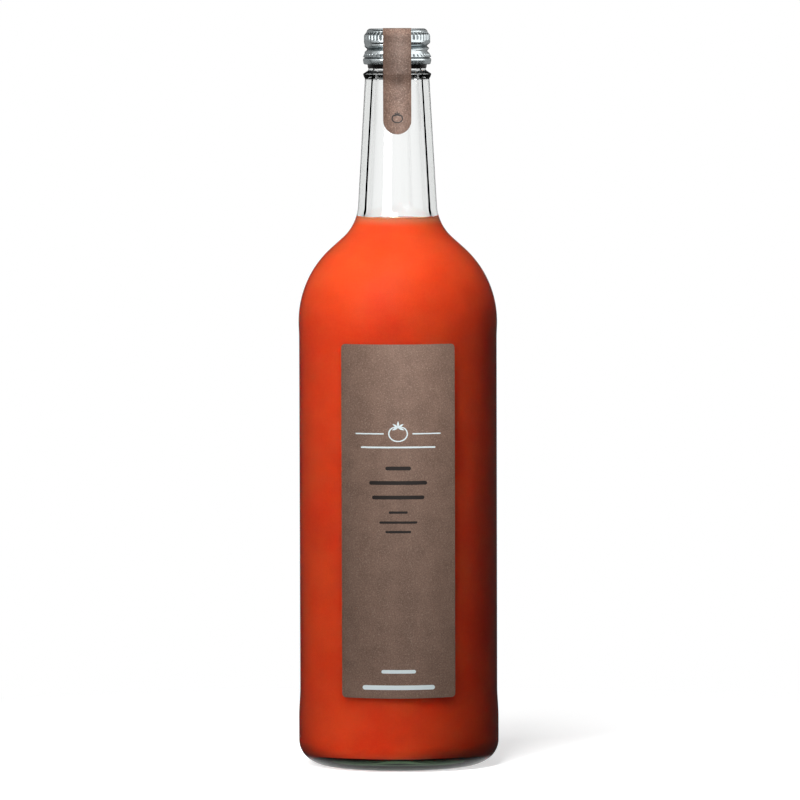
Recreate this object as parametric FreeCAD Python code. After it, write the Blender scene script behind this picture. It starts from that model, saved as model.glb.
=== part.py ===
import FreeCAD
import Part
import math
import os

# A one-litre round glass bottle of tomato juice, shut with a roll-on aluminium screw cap.
# A paper seal strip runs over the cap and down both sides of the neck, and a paper label
# is glued to the front of the body.
# Millimetres. +Z is up, and the front of the bottle faces -Y.
# The origin is the centre of the ring on which the bottle stands.

# ---- Bottle, outside ----
rim_height = 311.0            # top of the glass
body_radius = 42.05           # contact ring under the shoulder
panel_recess = 0.2            # the label panel lies this much inside the shoulder's ring
heel_proud = 0.35             # the heel's ring stands this much outside the shoulder's ring
shoulder_start_drop = 122.9   # from the rim down to where the shoulder begins
shoulder_ring_height = 3.0
panel_step_height = 3.0       # slope between the panel and either ring
panel_step_round = 6.0
heel_ring_top = 24.9          # where the heel's ring ends and the lower slope begins
shoulder_angle = 48.23        # between the shoulder's cone and the axis, degrees
shoulder_round = 41.85        # from the body into the cone
neck_round = 19.84            # from the cone into the neck
neck_top_radius = 13.62       # just below the transfer bead
neck_taper = 0.0562           # radius gained for each millimetre down the neck

# ---- Bottle, foot ----
foot_inset = 12.8             # from the heel's ring in to the flat ring that the bottle stands on
foot_width = 2.0
punt_height = 4.0             # rise of the hollow under the bottle
heel_cut_width = 7.2          # the heel's bevel, before its two rounds
heel_cut_height = 5.7
heel_toe_round = 12.0
heel_side_round = 9.6

# ---- Bottle, finish and transfer bead ----
finish_radius = 12.2
bore_radius = 9.3
rim_round = 1.0
rim_inner_round = 0.8
bead_proud = 0.86             # the bead's edge stands out this far from the top of the neck
bead_edge_drop = 18.1         # from the rim down to the bead's widest edge
bead_cone_height = 1.5
bead_edge_height = 1.3
bead_edge_inset = 0.4
bead_under_height = 0.7
bead_edge_round = 0.4
bead_root_round = 0.5

# ---- Bottle, wall ----
body_wall = 2.9
neck_wall = 3.5               # where the neck meets the shoulder
neck_top_wall = 3.8           # where the inside begins to close in
base_thickness = 5.0          # above the top of the punt
floor_edge_height = 5.2       # inner corner of the floor, before its round
floor_round = 5.0
bore_entry_drop = 20.5        # from the rim down to where the neck's inside begins to close in
bore_entry_height = 6.5
bore_entry_round = 6.0
dome_share = 0.42             # of half a dome's radius, taken up by its round on either side

# ---- Juice ----
fill_drop = 78.94             # from the rim down to the surface of the juice

# ---- Cap ----
cap_fit = 0.1                 # clearance between the cap's skirt and the glass
cap_top_thickness = 1.0       # shell and sealing disc together
crown_radius = 12.85
crown_round = 1.8
crown_height = 1.9
cap_inner_round = 0.8
grip_radius = 14.02
grip_height = 4.7
grip_slope = 1.3
grip_round = 1.2
grip_under_slope = 0.8
grip_count = 42
grip_groove_radius = 0.55
grip_groove_depth = 0.34
thread_crest_radius = 13.75
thread_pitch = 3.4
thread_depth = 1.05
thread_groove_height = 2.6    # opening of the V-shaped groove at the crest
thread_drop = 9.6             # from the cap's top down to the groove at the left side
thread_first_turn = -0.42     # the groove starts this part of a turn before the left side
thread_last_turn = 1.05
band_edge_radius = 14.43      # flared edge above the pilfer band
band_edge_drop = 12.0         # from the cap's top
band_flare_height = 1.5
band_groove_radius = 13.75
band_groove_height = 0.7
band_bead_radius = 14.45
band_bead_height = 2.45
band_bead_round = 0.45
notch_count = 42
notch_radius = 0.5
notch_depth = 0.3
notch_rise = 0.75             # from the flared edge up to the middle of a notch

# ---- Paper ----
paper_thickness = 0.15
glue_gap = 0.03
label_arc_width = 50.5
label_margin_below = 3.75     # from the lower slope up to the label
label_margin_above = 1.9      # from the label up to the upper slope
label_corner = 1.7
strip_width = 11.9
strip_end_drop = 43.5         # from the rim down to the end of the strip on the neck
strip_crown_round = 2.2
strip_grip_round = 3.0
strip_bead_round = 1.4
strip_dent_round = 3.0
strip_slack = 0.18            # the strip bridges edges of cap and bead this far outside them
strip_dent_drop = 3.9         # from the bead's edge down to where the strip meets the neck

# ---- Places that follow from the sizes above ----
panel_radius = body_radius - panel_recess
heel_radius = body_radius + heel_proud
bead_radius = neck_top_radius + bead_proud
foot_radius = heel_radius - foot_inset
inner_radius = body_radius - body_wall
shoulder_tan = math.tan(math.radians(shoulder_angle))
shoulder_cos = math.cos(math.radians(shoulder_angle))
shoulder_start = rim_height - shoulder_start_drop
shoulder_corner = shoulder_start + shoulder_round * math.tan(math.radians(shoulder_angle) / 2)
panel_bottom = heel_ring_top + panel_step_height
panel_top = shoulder_start - shoulder_ring_height - panel_step_height
bead_edge = rim_height - bead_edge_drop
bead_under = bead_edge - bead_edge_height
neck_top = bead_under - bead_under_height
fill_height = rim_height - fill_drop
cap_top = rim_height + cap_top_thickness
crown_edge = cap_top - crown_height
grip_bottom = crown_edge - grip_height
band_edge = cap_top - band_edge_drop
band_bead_top = band_edge - band_groove_height
band_bottom = band_bead_top - band_bead_height

origin = FreeCAD.Vector(0, 0, 0)
up = FreeCAD.Vector(0, 0, 1)
front = FreeCAD.Vector(0, -1, 0)
full_turn = 360


# ---- Outlines in the half-plane of radius and height ----
def point(radius, height):
    return FreeCAD.Vector(radius, 0, height)


def rounded_edges(corners):
    """Lines through corners (radius, height, round), with an arc at each corner but the end ones."""
    edges = []
    last = point(*corners[0][:2])
    for before, this, after in zip(corners, corners[1:], corners[2:]):
        corner = point(*this[:2])
        back = (point(*before[:2]) - corner).normalize()
        ahead = (point(*after[:2]) - corner).normalize()
        radius = this[2]
        if radius == 0:
            edges.append(Part.LineSegment(last, corner).toShape())
            last = corner
            continue
        half_angle = back.getAngle(ahead) / 2
        reach = radius / math.tan(half_angle)
        start = corner + back * reach
        end = corner + ahead * reach
        middle = corner + (back + ahead).normalize() * (radius / math.sin(half_angle) - radius)
        edges.append(Part.LineSegment(last, start).toShape())
        edges.append(Part.Arc(start, middle, end).toShape())
        last = end
    edges.append(Part.LineSegment(last, point(*corners[-1][:2])).toShape())
    return edges


def turned(corners):
    """The solid that the closed run of corners makes when it turns about the axis."""
    closing = Part.LineSegment(point(*corners[-1][:2]), point(*corners[0][:2])).toShape()
    face = Part.Face(Part.Wire(rounded_edges(corners) + [closing]))
    return face.revolve(origin, up, full_turn)


def dome(centre_height, edge_radius, edge_height):
    """The middle of a shallow dome, level at the axis and straight towards its edge."""
    half_radius = edge_radius / 2
    turn = math.atan2(abs(centre_height - edge_height), half_radius)
    dome_round = dome_share * half_radius / math.tan(turn / 2)
    return [(0, centre_height, 0), (half_radius, centre_height, dome_round)]


def neck_radius(height):
    return neck_top_radius + neck_taper * (neck_top - height)


def neck_corner(cone_inset, neck_inset):
    """Where the shoulder's cone and the neck's side meet, each moved in by its own amount."""
    cone_at_floor = body_radius - cone_inset + shoulder_corner * shoulder_tan
    neck_at_floor = neck_radius(0) - neck_inset
    height = (cone_at_floor - neck_at_floor) / (shoulder_tan - neck_taper)
    return neck_radius(height) - neck_inset, height


# ---- Bottle ----
def outer_corners():
    neck_foot_radius, neck_foot = neck_corner(0, 0)
    return dome(punt_height, foot_radius - foot_width, 0) + [
        (foot_radius - foot_width, 0, 0),
        (heel_radius - heel_cut_width, 0, heel_toe_round),
        (heel_radius, heel_cut_height, heel_side_round),
        (heel_radius, heel_ring_top, panel_step_round),
        (panel_radius, panel_bottom, panel_step_round),
        (panel_radius, panel_top, panel_step_round),
        (body_radius, panel_top + panel_step_height, panel_step_round),
        (body_radius, shoulder_corner, shoulder_round),
        (neck_foot_radius, neck_foot, neck_round),
        (neck_top_radius, neck_top, bead_root_round),
        (bead_radius - bead_edge_inset, bead_under, bead_edge_round),
        (bead_radius, bead_edge, bead_edge_round),
        (finish_radius, bead_edge + bead_cone_height, bead_root_round),
        (finish_radius, rim_height, rim_round),
    ]


def inner_corners():
    """The inside of the glass, from the floor's centre up to the rim."""
    cone_inset = body_wall / shoulder_cos
    neck_foot_radius, neck_foot = neck_corner(cone_inset, neck_wall)
    inner_shoulder = shoulder_corner + (body_wall - cone_inset) / shoulder_tan
    bore_entry = rim_height - bore_entry_drop
    return dome(punt_height + base_thickness, inner_radius, floor_edge_height) + [
        (inner_radius, floor_edge_height, floor_round),
        (inner_radius, inner_shoulder, shoulder_round - body_wall),
        (neck_foot_radius, neck_foot, neck_round + neck_wall),
        (neck_radius(bore_entry) - neck_top_wall, bore_entry, bore_entry_round),
        (bore_radius, bore_entry + bore_entry_height, bore_entry_round),
        (bore_radius, rim_height, rim_inner_round),
    ]


def make_glass():
    return turned(outer_corners() + inner_corners()[::-1])


def make_juice():
    inside = turned(inner_corners() + [(0, rim_height, 0)])
    below_surface = Part.makeCylinder(body_radius, fill_height)
    return inside.common(below_surface)


# ---- Cap ----
def cap_shell():
    skirt_inside = finish_radius + cap_fit
    return turned([
        (0, cap_top, 0),
        (crown_radius, cap_top, crown_round),
        (crown_radius, crown_edge, 0),
        (grip_radius, crown_edge - grip_slope, grip_round),
        (grip_radius, grip_bottom + grip_under_slope, grip_round),
        (thread_crest_radius, grip_bottom, 0),
        (thread_crest_radius, band_edge + band_flare_height, 0),
        (band_edge_radius, band_edge, 0),
        (band_groove_radius, band_edge, 0),
        (band_groove_radius, band_bead_top, 0),
        (band_bead_radius, band_bead_top, band_bead_round),
        (band_bead_radius, band_bottom, band_bead_round),
        (skirt_inside, band_bottom, 0),
        (skirt_inside, rim_height, cap_inner_round),
        (0, rim_height, 0),
    ])


def around(shape, count):
    """Equal copies of a shape all the way round the axis."""
    copies = []
    for index in range(count):
        copy = shape.copy()
        copy.rotate(origin, up, full_turn * index / count)
        copies.append(copy)
    return copies


def grip_grooves():
    groove_centre = grip_radius + grip_groove_radius - grip_groove_depth
    groove = Part.makeCylinder(grip_groove_radius, grip_height, point(groove_centre, grip_bottom), up)
    return around(groove, grip_count)


def notches():
    flare = (band_edge_radius - thread_crest_radius) / band_flare_height
    surface = band_edge_radius - flare * notch_rise
    centre = point(surface + notch_radius - notch_depth, band_edge + notch_rise)
    return around(Part.makeSphere(notch_radius, centre), notch_count)


def thread_groove():
    """The V-shaped helical groove that presses the shell into the glass thread."""
    turns = thread_last_turn - thread_first_turn
    root = thread_crest_radius - thread_depth
    overshoot = 0.5
    half_height = thread_groove_height / 2 * (thread_depth + overshoot) / thread_depth
    outside = thread_crest_radius + overshoot
    corners = [point(root, 0), point(outside, half_height), point(outside, -half_height), point(root, 0)]
    path = Part.makeHelix(thread_pitch, turns * thread_pitch, root)
    groove = Part.Wire(path).makePipeShell([Part.makePolygon(corners)], True, True)
    left_side = 0.5
    groove.rotate(origin, up, full_turn * (thread_first_turn + left_side))
    groove.translate(up * (cap_top - thread_drop + thread_first_turn * thread_pitch))
    return groove


def make_cap():
    shell = cap_shell().cut(thread_groove())
    return shell.cut(grip_grooves() + notches())


# ---- Paper ----
def make_front_label():
    inside = panel_radius + glue_gap
    outside = inside + paper_thickness
    bottom = panel_bottom + label_margin_below
    top = panel_top - label_margin_above
    sleeve = turned([(inside, bottom, 0), (outside, bottom, 0), (outside, top, 0), (inside, top, 0)])
    half_width = outside * math.sin(label_arc_width / outside / 2)
    blank = Part.makeBox(2 * half_width, outside, top - bottom,
                         FreeCAD.Vector(-half_width, -outside, bottom))
    corner_edges = [edge for edge in blank.Edges if abs(edge.tangentAt(0).dot(front)) > 0.5]
    return sleeve.common(blank.makeFillet(label_corner, corner_edges))


def strip_corners(stand_off):
    """The strip's line from the middle of the cap's top down to its end on the neck."""
    dent = bead_edge - strip_dent_drop
    end = rim_height - strip_end_drop
    return [
        (0, cap_top + stand_off, 0),
        (crown_radius + stand_off, cap_top + stand_off, strip_crown_round),
        (grip_radius + stand_off, crown_edge - grip_slope, strip_grip_round),
        (grip_radius + stand_off, grip_bottom + grip_under_slope, strip_grip_round),
        (band_edge_radius + strip_slack + stand_off, band_edge, strip_grip_round),
        (bead_radius + strip_slack + stand_off, bead_edge, strip_bead_round),
        (neck_radius(dent) + stand_off, dent, strip_dent_round),
        (neck_radius(end) + stand_off, end, 0),
    ]


def make_seal_strip():
    outside = strip_corners(glue_gap + paper_thickness)
    inside = strip_corners(glue_gap)
    hood = turned(outside + inside[::-1])
    reach = 2 * body_radius
    half_width = strip_width / 2
    round_end = rim_height - strip_end_drop + half_width
    blank = Part.makeBox(strip_width, reach, reach, FreeCAD.Vector(-half_width, -reach / 2, round_end))
    ends = Part.makeCylinder(half_width, reach, FreeCAD.Vector(0, reach / 2, round_end), front)
    return hood.common(blank.fuse(ends))


pieces = {
    "glass": make_glass(),
    "juice": make_juice(),
    "cap": make_cap(),
    "seal_strip": make_seal_strip(),
    "front_label": make_front_label(),
}

os.makedirs("parts", exist_ok=True)
for name, shape in pieces.items():
    solid = shape.Solids[0]
    solid.exportStep(f"parts/{name}.step")
    box = solid.optimalBoundingBox()
    print(f"{name}: {len(shape.Solids)} solid, valid {solid.isValid()}, {solid.Volume / 1000:.2f} ml, "
          f"{len(solid.Faces)} faces, z {box.ZMin:.2f} to {box.ZMax:.2f}, "
          f"x {box.XMin:.2f} to {box.XMax:.2f}, y {box.YMin:.2f} to {box.YMax:.2f}")
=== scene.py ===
# %% [markdown]
# # A litre of tomato juice
# The object is a clear glass bottle with juice inside, a rolled-on aluminium screw cap, a paper
# seal strip over the cap and a tall paper label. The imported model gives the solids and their
# places. This script gives every surface its finish, and prints what it makes as it goes.

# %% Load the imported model
import math
import bmesh
import bpy
from mathutils import Matrix, Vector


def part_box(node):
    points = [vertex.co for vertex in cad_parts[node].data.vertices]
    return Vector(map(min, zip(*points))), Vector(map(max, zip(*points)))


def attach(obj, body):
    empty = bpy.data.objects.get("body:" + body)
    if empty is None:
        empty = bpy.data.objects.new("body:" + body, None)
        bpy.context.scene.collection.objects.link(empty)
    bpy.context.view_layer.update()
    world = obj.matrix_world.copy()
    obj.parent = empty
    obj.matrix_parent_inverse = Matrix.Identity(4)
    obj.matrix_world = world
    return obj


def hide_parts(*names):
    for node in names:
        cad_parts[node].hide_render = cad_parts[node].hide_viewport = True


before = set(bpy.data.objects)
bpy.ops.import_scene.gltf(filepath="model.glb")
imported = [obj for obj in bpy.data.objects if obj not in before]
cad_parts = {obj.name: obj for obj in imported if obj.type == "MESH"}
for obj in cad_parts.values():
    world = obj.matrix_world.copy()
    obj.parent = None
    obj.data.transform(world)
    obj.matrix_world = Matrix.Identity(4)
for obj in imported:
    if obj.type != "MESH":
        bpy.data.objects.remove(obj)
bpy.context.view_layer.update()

scene = bpy.context.scene
mm = 0.001
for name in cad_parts:
    low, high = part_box(name)
    size = (high - low) / mm
    print(f"{name}: {size.x:.1f} x {size.y:.1f} x {size.z:.1f} mm, from z {low.z / mm:.1f}")

# %% [markdown]
# ## Where the eye stands
# A long lens from three metres away flattens the bottle to nearly a drawing, as catalogue
# pictures do. The camera stands level with the cap and looks a little down, so the foot shows
# as a shallow curve. A lens this long keeps the bottle's sides parallel.

# %% The camera
sensor_width = 36.0
lens_length = 315.3
camera_distance = 2.967
camera_height = 0.3186
camera_aside = 1.27 * mm
look_down = math.radians(3.1625)
lean = math.radians(0.15)

camera = bpy.data.objects.new("camera", bpy.data.cameras.new("camera"))
camera.data.sensor_width = sensor_width
camera.data.lens = lens_length
camera.data.clip_end = 50
camera.location = (camera_aside, -camera_distance, camera_height)
camera.rotation_euler = (math.pi / 2 - look_down, lean, 0)
scene.collection.objects.link(camera)
scene.camera = camera
scene.view_settings.view_transform = "Standard"
print(f"camera {camera_distance:.2f} m away, {camera_height * 1000:.0f} mm up")

# %% [markdown]
# ## Nodes written by script
# A few small helpers keep the node trees readable. `add` makes one node and feeds its inputs
# with values or with other nodes' outputs. `calc` does one step of arithmetic, and `product`
# and `fade` are steps that come back often. A place is a vector, which `parts_of` takes apart
# and `place_from` puts together.

# %% Node helpers
def add(tree, kind, sockets=None, **settings):
    """One node with its settings; its inputs are fed by values or by other nodes' outputs."""
    made = tree.nodes.new(kind)
    for setting, value in settings.items():
        setattr(made, setting, value)
    for key, value in (sockets or {}).items():
        if isinstance(value, bpy.types.NodeSocket):
            tree.links.new(value, made.inputs[key])
        else:
            made.inputs[key].default_value = value
    return made


def calc(tree, operation, *values):
    """One step of arithmetic on numbers or outputs."""
    return add(tree, "ShaderNodeMath", dict(enumerate(values)), operation=operation).outputs[0]


def product(tree, first, *factors):
    """All the factors multiplied, from the left."""
    for factor in factors:
        first = calc(tree, "MULTIPLY", first, factor)
    return first


def rest_of(tree, share):
    """What is left of 1 when a share is taken."""
    return calc(tree, "SUBTRACT", 1.0, share)


print("node helpers: add, calc, product, rest_of")

# %% Helpers for places and fades
def vector_calc(tree, operation, *places):
    """One step of arithmetic on places; the outputs are Vector and Value."""
    return add(tree, "ShaderNodeVectorMath", dict(enumerate(places)), operation=operation).outputs


def parts_of(tree, place):
    """A place taken apart into X, Y and Z."""
    return add(tree, "ShaderNodeSeparateXYZ", {0: place}).outputs


def place_from(tree, x, y, z=0.0):
    """A place put together from three numbers."""
    return add(tree, "ShaderNodeCombineXYZ", {0: x, 1: y, 2: z}).outputs[0]


def fade(tree, value, start, end):
    """Runs smoothly from 0 at start to 1 at end."""
    sockets = {"Value": value, "From Min": start, "From Max": end}
    return add(tree, "ShaderNodeMapRange", sockets, interpolation_type="SMOOTHSTEP").outputs[0]


print("more node helpers: vector_calc, parts_of, place_from, fade")

# %% [markdown]
# ## Trees with named inputs
# A tree that is used again needs inputs with names, as a tool has handles. `new_tree` opens a
# node group with its inputs and outputs. The geometry trees also share their ending, which
# turns instances into real mesh, smooths the faces and sets the finish.

# %% Opening and ending a tree
def new_tree(name, kind, inputs, outputs):
    """A node group with named inputs and outputs, given as {name: (socket kind, default)}."""
    tree = bpy.data.node_groups.new(name, kind)
    for direction, sockets in (("INPUT", inputs), ("OUTPUT", outputs)):
        for title, (socket_kind, default) in sockets.items():
            socket_type = "NodeSocket" + socket_kind
            socket = tree.interface.new_socket(title, in_out=direction, socket_type=socket_type)
            if default is not None:
                socket.default_value = default
    return tree, add(tree, "NodeGroupInput").outputs, add(tree, "NodeGroupOutput").inputs


def finish_tree(tree, outlet, geometry, finish):
    """Every geometry tree ends the same way: real mesh, smooth faces, one finish."""
    real = add(tree, "GeometryNodeRealizeInstances", {0: geometry}).outputs[0]
    smooth = add(tree, "GeometryNodeSetShadeSmooth", {"Geometry": real}).outputs[0]
    painted = add(tree, "GeometryNodeSetMaterial", {"Geometry": smooth, "Material": finish})
    tree.links.new(painted.outputs[0], outlet[0])
    print(f"{tree.name} tree: {len(tree.nodes)} nodes")


print("tree helpers: new_tree, finish_tree")

# %% [markdown]
# ## From a tree to a plain mesh
# A geometry tree works as a modifier. `grow` gives a mesh to one or more trees and sets their
# named inputs. `settle` takes the evaluated result and drops the modifiers, so that what is
# left is a plain mesh that any program can read. `report` prints its size and the volume it
# encloses, which comes out negative if the faces point inwards.

# %% Settling and measuring a piece
ml_per_cubic_metre = 1e6


def settle(piece):
    """Turns what the modifiers make into the piece's own plain mesh."""
    bpy.context.view_layer.update()
    evaluated = piece.evaluated_get(bpy.context.evaluated_depsgraph_get())
    settled = bpy.data.meshes.new_from_object(evaluated)
    piece.modifiers.clear()
    piece.data = settled
    settled.name = piece.name


def report(piece):
    """Prints the piece's triangles, the volume it encloses and its open edges."""
    shell = bmesh.new()
    shell.from_mesh(piece.data)
    volume = shell.calc_volume(signed=True) * ml_per_cubic_metre
    open_edges = sum(edge.is_boundary for edge in shell.edges)
    triangles = sum(len(face.verts) - 2 for face in shell.faces)
    shell.free()
    print(f"{piece.name}: {triangles} triangles, {volume:.2f} ml, {open_edges} open edges")


print("piece helpers: settle, report")

# %% Growing and keeping a piece
def grow(name, mesh, *stages):
    """Runs geometry trees on a mesh, each stage being (tree, sizes), and keeps the result."""
    piece = bpy.data.objects.new(name, mesh)
    scene.collection.objects.link(piece)
    for tree, sizes in stages:
        modifier = piece.modifiers.new(tree.name, "NODES")
        modifier.node_group = tree
        for item in tree.interface.items_tree:
            if item.in_out == "INPUT" and item.name in sizes:
                modifier[item.identifier] = sizes[item.name]
    settle(piece)
    report(piece)
    return piece


def keep(piece, slot, *nodes):
    """The piece moves with the bottle and stands for CAD nodes, which it hides; slot is not used."""
    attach(piece, "root")
    if nodes:
        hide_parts(*nodes)
    return piece


print("piece helpers: grow, keep")

# %% [markdown]
# ## Outlines
# Bottle, juice and cap are round, so each is drawn once as half an outline, radius against
# height, and turned. An outline is a short list of corners with a round at each. The rounds
# become short steps, fine enough to look smooth, and long straight runs are divided so that
# light bends evenly over them.

# %% Corners to a smooth outline
def outline_points(corners, longest_run=4 * mm, arc_step=0.8 * mm):
    """Points in metres along corners given in millimetres as (radius, height, round)."""
    corners = [tuple(value * mm for value in corner) for corner in corners]
    points = [Vector(corners[0][:2])]
    for before, this, after in zip(corners, corners[1:], corners[2:]):
        corner = Vector(this[:2])
        back = (Vector(before[:2]) - corner).normalized()
        ahead = (Vector(after[:2]) - corner).normalized()
        radius = this[2]
        if radius == 0:
            points.append(corner)
            continue
        half_angle = back.angle(ahead) / 2
        turn = math.pi - 2 * half_angle
        centre = corner + (back + ahead).normalized() * radius / math.sin(half_angle)
        arm = corner + back * radius / math.tan(half_angle) - centre
        way = 1 if back.cross(arm) > 0 else -1
        finest = math.radians(2)
        coarsest = math.radians(12)
        step = min(max(arc_step / radius, finest), coarsest)
        count = max(2, math.ceil(turn / step))
        for index in range(count + 1):
            points.append(centre + Matrix.Rotation(way * turn * index / count, 2) @ arm)
    points.append(Vector(corners[-1][:2]))
    return divided(points, longest_run)


def divided(points, longest_run):
    """The same line with its long runs cut into equal shorter ones."""
    line = [points[0]]
    for start, end in zip(points, points[1:]):
        if (end - start).length < 1e-7:
            continue
        count = math.ceil((end - start).length / longest_run)
        line += [start.lerp(end, index / count) for index in range(1, count + 1)]
    return line


print("outline helpers: outline_points, divided")

# %% An outline as a chain of edges
def chain(name, points):
    """An outline as a chain of edges in the plane of x, the radius, and z, the height."""
    line = bpy.data.meshes.new(name)
    edges = [(index, index + 1) for index in range(len(points) - 1)]
    line.from_pydata([(radius, 0, height) for radius, height in points], edges, [])
    print(f"{name}: {len(points)} points")
    return line


print("outline helper: chain")

# %% [markdown]
# ## The lathe
# The glass is blown in a round mould and the cap is rolled on, so a lathe is the natural tool.
# The tree makes a flat grid with one row for each outline point and one column for each step
# round, then moves every grid point to its place round the axis. The seam and the two poles
# are closed by merging the points that meet there.

# %% A lathe in Geometry Nodes
lathe, lathe_in, lathe_out = new_tree(
    "lathe", "GeometryNodeTree",
    {"Outline": ("Geometry", None), "Steps Around": ("Int", 96), "Finish": ("Material", None)},
    {"Turned": ("Geometry", None)})


def sampled_at(tree, line, index):
    """The place of the point with that number on a line."""
    here = add(tree, "GeometryNodeInputPosition").outputs[0]
    sample = add(tree, "GeometryNodeSampleIndex", {"Geometry": line, "Value": here, "Index": index},
                 data_type="FLOAT_VECTOR", domain="POINT").outputs[0]
    return parts_of(tree, sample)


def counted(tree, line):
    """How many points a line has."""
    return add(tree, "GeometryNodeAttributeDomainSize", {"Geometry": line}).outputs["Point Count"]


outline = lathe_in["Outline"]
steps_around = lathe_in["Steps Around"]
rows = counted(lathe, outline)
columns = calc(lathe, "ADD", steps_around, 1.0)
grid = add(lathe, "GeometryNodeMeshGrid", {"Vertices X": columns, "Vertices Y": rows})
index = add(lathe, "GeometryNodeInputIndex").outputs[0]
row = calc(lathe, "MODULO", index, rows)
column = calc(lathe, "FLOOR", calc(lathe, "DIVIDE", index, rows))
on_outline = sampled_at(lathe, outline, row)
angle = product(lathe, calc(lathe, "DIVIDE", column, steps_around), 2 * math.pi)
turned_x = product(lathe, on_outline["X"], calc(lathe, "COSINE", angle))
turned_y = product(lathe, on_outline["X"], calc(lathe, "SINE", angle))
turned_place = place_from(lathe, turned_x, turned_y, on_outline["Z"])
turned = add(lathe, "GeometryNodeSetPosition",
             {"Geometry": grid.outputs["Mesh"], "Position": turned_place}).outputs[0]
merge_distance = 1e-6
closed = add(lathe, "GeometryNodeMergeByDistance", {"Geometry": turned, "Distance": merge_distance})
finish_tree(lathe, lathe_out, closed.outputs[0], lathe_in["Finish"])

# %% [markdown]
# ## Effects that several finishes share
# Nothing real is even. `waviness` gives a height that rolls gently, for moulded glass and
# rolled metal. `specks` gives two masks, one of small flecks and one of slow clouds, for
# paper, pulp and metal. Each is built once and placed in a finish with its own sizes.

# %% Shared shader groups
def object_place(tree):
    """Where a point lies on the object, in metres."""
    return add(tree, "ShaderNodeTexCoord").outputs["Object"]


def noise(tree, place, size, **more):
    """Soft random light and dark, about as large as size."""
    scale = calc(tree, "DIVIDE", 1.0, size)
    sockets = {"Vector": place, "Scale": scale, **more}
    return add(tree, "ShaderNodeTexNoise", sockets).outputs[0]


def placed(tree, group, **sizes):
    """A shared group placed in a tree, with its own sizes; gives the group's outputs."""
    sockets = {title.replace("_", " "): value for title, value in sizes.items()}
    return add(tree, "ShaderNodeGroup", sockets, node_tree=group).outputs


waviness, waviness_in, waviness_out = new_tree(
    "waviness", "ShaderNodeTree",
    {"Place": ("Vector", None), "Size": ("Float", 0.01), "Stretch": ("Float", 1.0)},
    {"Height": ("Float", None)})
stretch = place_from(waviness, 1.0, 1.0, waviness_in["Stretch"])
wave_place = vector_calc(waviness, "MULTIPLY", waviness_in["Place"], stretch)["Vector"]
waves = noise(waviness, wave_place, waviness_in["Size"], Detail=2.0, Roughness=0.4)
waviness.links.new(waves, waviness_out["Height"])

fleck_range = (0.35, 0.65)
cloud_range = (0.3, 0.7)
specks, specks_in, specks_out = new_tree(
    "specks", "ShaderNodeTree",
    {"Place": ("Vector", None), "Fleck Size": ("Float", 0.0004), "Cloud Size": ("Float", 0.01)},
    {"Flecks": ("Float", None), "Clouds": ("Float", None)})
flecks = noise(specks, specks_in["Place"], specks_in["Fleck Size"], Detail=3.0)
clouds = noise(specks, specks_in["Place"], specks_in["Cloud Size"], Detail=4.0)
specks.links.new(fade(specks, flecks, *fleck_range), specks_out["Flecks"])
specks.links.new(fade(specks, clouds, *cloud_range), specks_out["Clouds"])
print("shared groups: waviness and specks")

# %% [markdown]
# ## A finish
# Each finish is a material with one Principled shader. Plain values go straight to the
# shader's sockets, and only what changes over the surface comes from other nodes. The helpers
# here mix two colours, mix two shaders and turn a height into a bump.

# %% Finish helpers
def new_finish(name, **plain):
    """A material with one Principled shader; plain values go to the shader's own sockets."""
    finish = bpy.data.materials.new(name)
    finish.use_nodes = True
    tree = finish.node_tree
    tree.nodes.clear()
    sockets = {title.replace("_", " "): value for title, value in plain.items()}
    shader = add(tree, "ShaderNodeBsdfPrincipled", sockets)
    add(tree, "ShaderNodeOutputMaterial", {"Surface": shader.outputs[0]})
    return finish, tree, shader


def node_of(tree, kind):
    """The tree's node of that kind."""
    return next(node for node in tree.nodes if node.type == kind)


def mixed(tree, share, first, second):
    """A colour between two colours."""
    sockets = {"Factor": share, 6: first, 7: second}
    return add(tree, "ShaderNodeMix", sockets, data_type="RGBA").outputs[2]


def blended(tree, share, first, second):
    """A shader between two shaders."""
    return add(tree, "ShaderNodeMixShader", {0: share, 1: first, 2: second}).outputs[0]


def roughened(tree, shader, height, distance):
    """Feeds a height to the shader as a bump of that distance in metres."""
    bump = add(tree, "ShaderNodeBump", {"Height": height, "Distance": distance})
    tree.links.new(bump.outputs[0], shader.inputs["Normal"])


print("finish helpers: new_finish, node_of, mixed, blended, roughened")

# %% [markdown]
# ## The bottle's sizes
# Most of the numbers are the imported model's own, in millimetres, from the same few driving
# sizes: the rim's height, the body's radius, the shoulder's angle and the neck's taper. Two
# forms are softer here than in the solid. The low steps at both ends of the label's panel are
# spread over more height, so that no ledge shows, and the foot's edges get small rounds.

# %% Sizes of the glass
rim_height = 311.0
body_radius = 42.05
panel_radius = body_radius - 0.2
heel_radius = body_radius + 0.35
shoulder_angle = math.radians(48.23)
shoulder_round = 41.85
shoulder_ring_height = 1.1
neck_round = 19.84
neck_top_radius = 13.62
neck_taper = 0.0562
bead_radius = neck_top_radius + 0.86
bead_round = 0.4
finish_radius = 12.2
finish_round = 0.5
rim_round = 1.0
bore_rim_round = 0.8
bore_radius = 9.3
body_wall = 2.9
neck_wall = 3.5
neck_top_wall = 3.8
print(f"body {2 * body_radius:.1f} mm across, rim at z {rim_height:.0f} mm")

# %% Sizes of the foot and the panel
heel_cut_width = 7.2
heel_cut_height = 5.7
heel_toe_round = 12.0
heel_side_round = 9.6
heel_ring_top = 21.9
heel_step_height = 9.0
heel_step_round = 60.0
top_step_height = 4.9
top_step_round = 40.0
foot_radius = heel_radius - 12.8
foot_width = 2.0
foot_edge_round = 0.5
punt_height = 4.0
base_thickness = 5.0
floor_edge_height = 5.2
floor_round = 5.0
print(f"the bottle stands on a ring {2 * foot_radius:.1f} mm across")

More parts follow.
